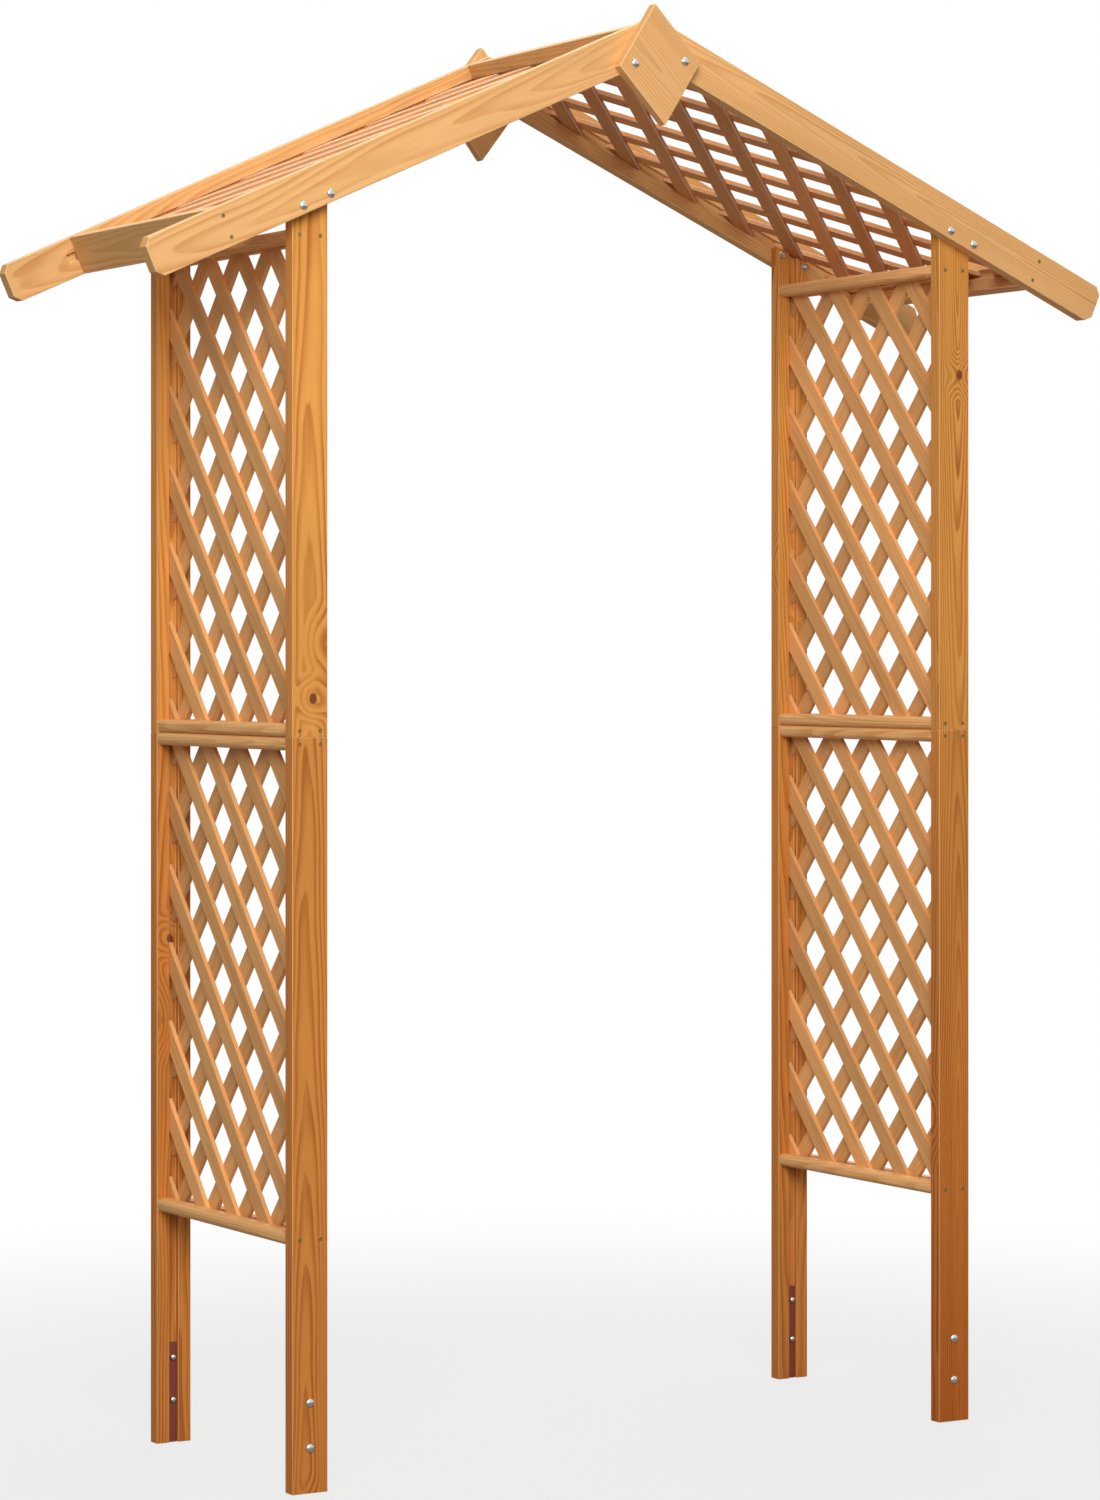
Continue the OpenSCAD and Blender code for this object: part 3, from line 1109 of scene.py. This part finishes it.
@dataclass
class Posts:
    """Eight post sections, their rails and the strips at their feet."""

    workshop: Workshop
    fixings: Fixings
    rail_screw_out: float = 20.5 * MM
    rail_arris: float = 0.8 * MM
    bolt_out: float = 27 * MM
    bolt_below: float = 58 * MM
    anchor_heights: tuple[float, float] = (80 * MM, 160 * MM)
    knots: dict[str, Vector] = field(
        default_factory=lambda: {
            "post_front_right_upper": Vector((0.712, -0.295, 2.025)),
            "post_front_left_upper": Vector((-0.690, -0.295, 1.405)),
            "post_back_left_lower": Vector((-0.705, 0.295, 0.95)),
        }
    )

    def tone(self, side: Side, end: End, level: str) -> tuple[float, tuple[float, float]]:
        """Tone of one post section, and how much darker it is painted at its foot and at its head.

        Args:
            side: Side of the post.
            end: End of the post.
            level: lower or upper.

        Returns:
            The tone, and the darkening at the foot and the head.
        """
        if level == "upper":
            return (-0.3 if side is Side.RIGHT else 0.0), (0.1, 0.0)
        # the front right post is painted darkest at its foot
        darkest_foot = (side, end) == (Side.RIGHT, End.FRONT)
        return -0.35, ((1.0, 0.3) if darkest_foot else (0.6, 0.35))

    def build(self) -> None:
        """Makes the posts and notes their fixings."""
        upright = SawnAxes(Vector((0, 0, 1)), Vector((1, 0, 0)), Vector((0, 1, 0)))
        for side in Side:
            for end in End:
                for level in ("lower", "upper"):
                    node = f"post_{end.word}_{side.word}_{level}"
                    tone, soak = self.tone(side, end, level)
                    piece = TimberPiece(node, upright, tone, soak, knot=self.knots.get(node))
                    piece.dress(self.workshop.post_wood)
                self.fix_foot(side, end)
                self.fix_head(side, end)
            self.build_rails(side)

    def fix_foot(self, side: Side, end: End) -> None:
        """Dresses a ground strip and notes the bolts through it.

        Args:
            side: Side of the post.
            end: End of the post.
        """
        name = f"ground_strip_{end.word}_{side.word}"
        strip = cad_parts[name]
        strip.data.materials.clear()
        strip.data.materials.append(self.workshop.strip_paint)
        low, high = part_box(f"post_{end.word}_{side.word}_lower")
        strip_low, strip_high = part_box(name)
        x = (low.x + high.x) / 2
        outward = Vector((0, end.value, 0))
        outer_y = low.y if end is End.FRONT else high.y
        inner_y = strip_high.y if end is End.FRONT else strip_low.y
        for height in self.anchor_heights:
            self.fixings.add(FixingShape.DOME, Vector((x, outer_y, height)), outward)
            self.fixings.add(FixingShape.CAP, Vector((x, inner_y, height)), -outward)

    def fix_head(self, side: Side, end: End) -> None:
        """Notes the bolts that hold a post to its rafter.

        Args:
            side: Side of the post.
            end: End of the post.
        """
        low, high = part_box(f"post_{end.word}_{side.word}_upper")
        rafter_low, rafter_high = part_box(f"rafter_{end.word}_{side.word}")
        slope = Slope(side)
        outward = Vector((0, end.value, 0))
        outer_y = rafter_low.y if end is End.FRONT else rafter_high.y
        inner_y = high.y if end is End.FRONT else low.y
        middle = abs(low.x + high.x) / 2
        for sign in (-1, 1):
            x = middle + sign * self.bolt_out
            along = (x + self.bolt_below * math.sin(ROOF_PITCH)) / math.cos(ROOF_PITCH)
            self.fixings.add(FixingShape.DOME, slope.point(along, self.bolt_below, outer_y), outward)
            self.fixings.add(FixingShape.NUT, slope.point(along, self.bolt_below, inner_y), -outward)

    def build_rails(self, side: Side) -> None:
        """Makes one side's rails and notes the screws that hold them.

        Args:
            side: Side of the rails.
        """
        lying = SawnAxes(Vector((0, 1, 0)), Vector((0, 0, 1)), Vector((1, 0, 0)))
        for level in ("lower", "upper"):
            for edge in ("bottom", "top"):
                node = f"rails_{side.word}_{level}_{edge}"
                tone = random.Random(node).uniform(0.4, 0.9)
                rail = TimberPiece(node, lying, tone, arris_width=self.rail_arris)
                rail.dress(self.workshop.frame_wood)
                low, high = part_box(node)
                middle = (low + high) / 2
                for end in End:
                    post_low, post_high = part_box(f"post_{end.word}_{side.word}_{level}")
                    y = post_low.y if end is End.FRONT else post_high.y
                    for sign in (-1, 1):
                        place = Vector((middle.x + sign * self.rail_screw_out, y, middle.z))
                        self.fixings.add(FixingShape.SCREW, place, Vector((0, end.value, 0)))


@dataclass
class Roof:
    """Rafters, cross boards and gable plates."""

    workshop: Workshop
    fixings: Fixings
    eave_screw_depths: tuple[float, float] = (18 * MM, 58 * MM)
    plate_bolt_out: float = 54 * MM
    plate_bolt_up: float = 4 * MM
    front_lean: float = math.radians(5.5)

    def build(self) -> None:
        """Makes the pieces of the roof and notes their fixings."""
        for side in Side:
            slope = Slope(side)
            down = SawnAxes(slope.down, slope.inward, Vector((0, 1, 0)))
            across = SawnAxes(Vector((0, 1, 0)), slope.inward, slope.down)
            for end in End:
                tone = 0.25 if end is End.FRONT else 0.0
                self.dress_wood(f"rafter_{end.word}_{side.word}", down, tone)
                self.screw_eave(side, end)
            self.dress_wood(f"ridge_board_{side.word}", across, -0.3)
            self.dress_wood(f"eave_board_{side.word}", across, -0.1)
        for end in End:
            self.build_plate(end)

    def dress_wood(self, node: str, axes: SawnAxes, tone: float) -> None:
        """Dresses one sloping timber of the roof.

        Args:
            node: Name of the CAD node.
            axes: Directions of the timber.
            tone: Its tone.
        """
        TimberPiece(node, axes, tone, roof=True).dress(self.workshop.frame_wood)

    def screw_eave(self, side: Side, end: End) -> None:
        """Notes the two screws through a rafter into an eave board.

        Args:
            side: Side of the eave board.
            end: End of the rafter.
        """
        low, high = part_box(f"rafter_{end.word}_{side.word}")
        board_low, board_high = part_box(f"eave_board_{side.word}")
        slope = Slope(side)
        middle = (board_low + board_high) / 2 - slope.apex
        along = middle.dot(slope.down)
        y = low.y if end is End.FRONT else high.y
        for depth in self.eave_screw_depths:
            self.fixings.add(FixingShape.SCREW, slope.point(along, depth, y), Vector((0, end.value, 0)))

    def build_plate(self, end: End) -> None:
        """Makes a gable plate and notes its two bolts.

        Args:
            end: End that the plate closes.
        """
        node = f"gable_plate_{end.word}"
        low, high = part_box(node)
        middle = (low + high) / 2
        lean = self.front_lean if end is End.FRONT else 0.0
        turn = Matrix.Rotation(-lean, 3, "Y")
        edge = turn @ Vector((0.62, 0, -0.78)).normalized()
        axes = SawnAxes(edge, Vector((0, 1, 0)).cross(edge), Vector((0, 1, 0)))
        TimberPiece(node, axes, 0.2).dress(self.workshop.frame_wood)
        outward = Vector((0, end.value, 0))
        outer_y = low.y if end is End.FRONT else high.y
        rafter_low, rafter_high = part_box(f"rafter_{end.word}_left")
        inner_y = rafter_high.y if end is End.FRONT else rafter_low.y
        for sign in (-1, 1):
            place = middle + turn @ Vector((sign * self.plate_bolt_out, 0, self.plate_bolt_up))
            self.fixings.add(FixingShape.DOME, Vector((place.x, outer_y, place.z)), outward)
            self.fixings.add(FixingShape.NUT, Vector((place.x, inner_y, place.z)), -outward)


@dataclass
class Studio:
    """Camera, lamps, white surroundings and a pale floor."""

    eye: Vector = field(default_factory=lambda: Vector((-4.134, -7.016, 1.498)))
    turn: float = math.radians(30.3)
    lens: float = 102.3
    lens_drop: float = -0.0691
    floor_size: float = 60.0
    floor_white: tuple[float, float] = (0.78, 1.0)
    floor_fade: tuple[float, float] = (1.0, 3.4)
    floor_grey: float = 0.3
    surround: float = 0.24

    def build(self) -> None:
        """Sets up the whole studio."""
        self.build_camera()
        self.build_world()
        self.build_floor()
        self.build_lamp("Key lamp", Vector((-3.6, -6.2, 4.8)), 4.0, 520.0)
        self.build_lamp("Top lamp", Vector((0.5, 0.5, 7.5)), 5.0, 170.0)
        self.build_lamp("Back lamp", Vector((4.5, 5.0, 4.5)), 4.0, 240.0)
        bpy.context.scene.view_settings.view_transform = "Standard"

    def build_camera(self) -> None:
        """Places the camera, level, at eye height."""
        camera = bpy.data.cameras.new("Camera")
        camera.sensor_fit = "VERTICAL"
        camera.sensor_height = 36.0
        camera.lens = self.lens
        camera.shift_y = self.lens_drop
        holder = bpy.data.objects.new("Camera", camera)
        holder.location = self.eye
        holder.rotation_euler = (math.pi / 2, 0.0, -self.turn)
        bpy.context.scene.collection.objects.link(holder)
        bpy.context.scene.camera = holder

    def build_world(self) -> None:
        """Lights the scene evenly, and shows white to the camera and in reflections."""
        world = bpy.data.worlds.new("Studio")
        world.use_nodes = True
        bpy.context.scene.world = world
        maker = TreeMaker(world.node_tree)
        path = maker.add("ShaderNodeLightPath").outputs
        seen = maker.math("MAXIMUM", path["Is Camera Ray"], path["Is Glossy Ray"])
        seen = maker.math("MAXIMUM", seen, path["Is Transmission Ray"])
        strength = maker.add("ShaderNodeMapRange", {0: seen, 3: self.surround, 4: 1.0}).outputs[0]
        backdrop = world.node_tree.nodes["Background"]
        backdrop.inputs["Color"].default_value = (1.0, 1.0, 1.0, 1.0)
        maker.feed(backdrop.inputs["Strength"], strength)

    def build_floor(self) -> None:
        """Lays a pale floor that fades to white and keeps the shadow."""
        half = self.floor_size / 2
        mesh = bpy.data.meshes.new("floor")
        corners = [(-half, -half, 0), (half, -half, 0), (half, half, 0), (-half, half, 0)]
        mesh.from_pydata(corners, [], [(0, 1, 2, 3)])
        floor = bpy.data.objects.new("floor", mesh)
        bpy.context.scene.collection.objects.link(floor)
        material = bpy.data.materials.new("Pale floor")
        material.use_nodes = True
        maker = TreeMaker(material.node_tree)
        material.node_tree.nodes.remove(material.node_tree.nodes["Principled BSDF"])
        matt = maker.add("ShaderNodeBsdfDiffuse", {"Color": (*(self.floor_grey,) * 3, 1.0)})
        glow = maker.add("ShaderNodeEmission", {"Color": (1.0, 1.0, 1.0, 1.0), "Strength": 1.0})
        seen = maker.add("ShaderNodeLightPath").outputs["Is Camera Ray"]
        away = maker.vector("LENGTH", maker.add("ShaderNodeTexCoord").outputs["Object"])
        share = maker.math("MULTIPLY", seen, maker.smooth(away, *self.floor_fade, *self.floor_white))
        blend = maker.add("ShaderNodeMixShader", {0: share, 1: matt.outputs[0], 2: glow.outputs[0]})
        maker.feed(material.node_tree.nodes["Material Output"].inputs["Surface"], blend.outputs[0])
        mesh.materials.append(material)

    def build_lamp(self, name: str, place: Vector, size: float, power: float) -> None:
        """Hangs one square lamp that faces the middle of the arch.

        Args:
            name: Name of the lamp.
            place: Where it hangs.
            size: Side of the lamp.
            power: Power in watts.
        """
        lamp = bpy.data.lights.new(name, "AREA")
        lamp.size = size
        lamp.energy = power
        holder = bpy.data.objects.new(name, lamp)
        holder.location = place
        aim = Vector((0, 0, 1.4)) - place
        holder.rotation_euler = aim.to_track_quat("-Z", "Y").to_euler()
        bpy.context.scene.collection.objects.link(holder)


def main() -> None:
    """Builds the studio and every sub-assembly in order."""
    logging.basicConfig(level=logging.INFO, format="%(name)s: %(message)s")
    Studio().build()
    workshop = Workshop()
    fixings = Fixings(workshop)
    trellis = TrellisMaker()
    Posts(workshop, fixings).build()
    Roof(workshop, fixings).build()
    SidePanels(workshop, trellis).build()
    RoofPanels(workshop, trellis).build()
    fixings.build()


if __name__ == "__main__":
    main()
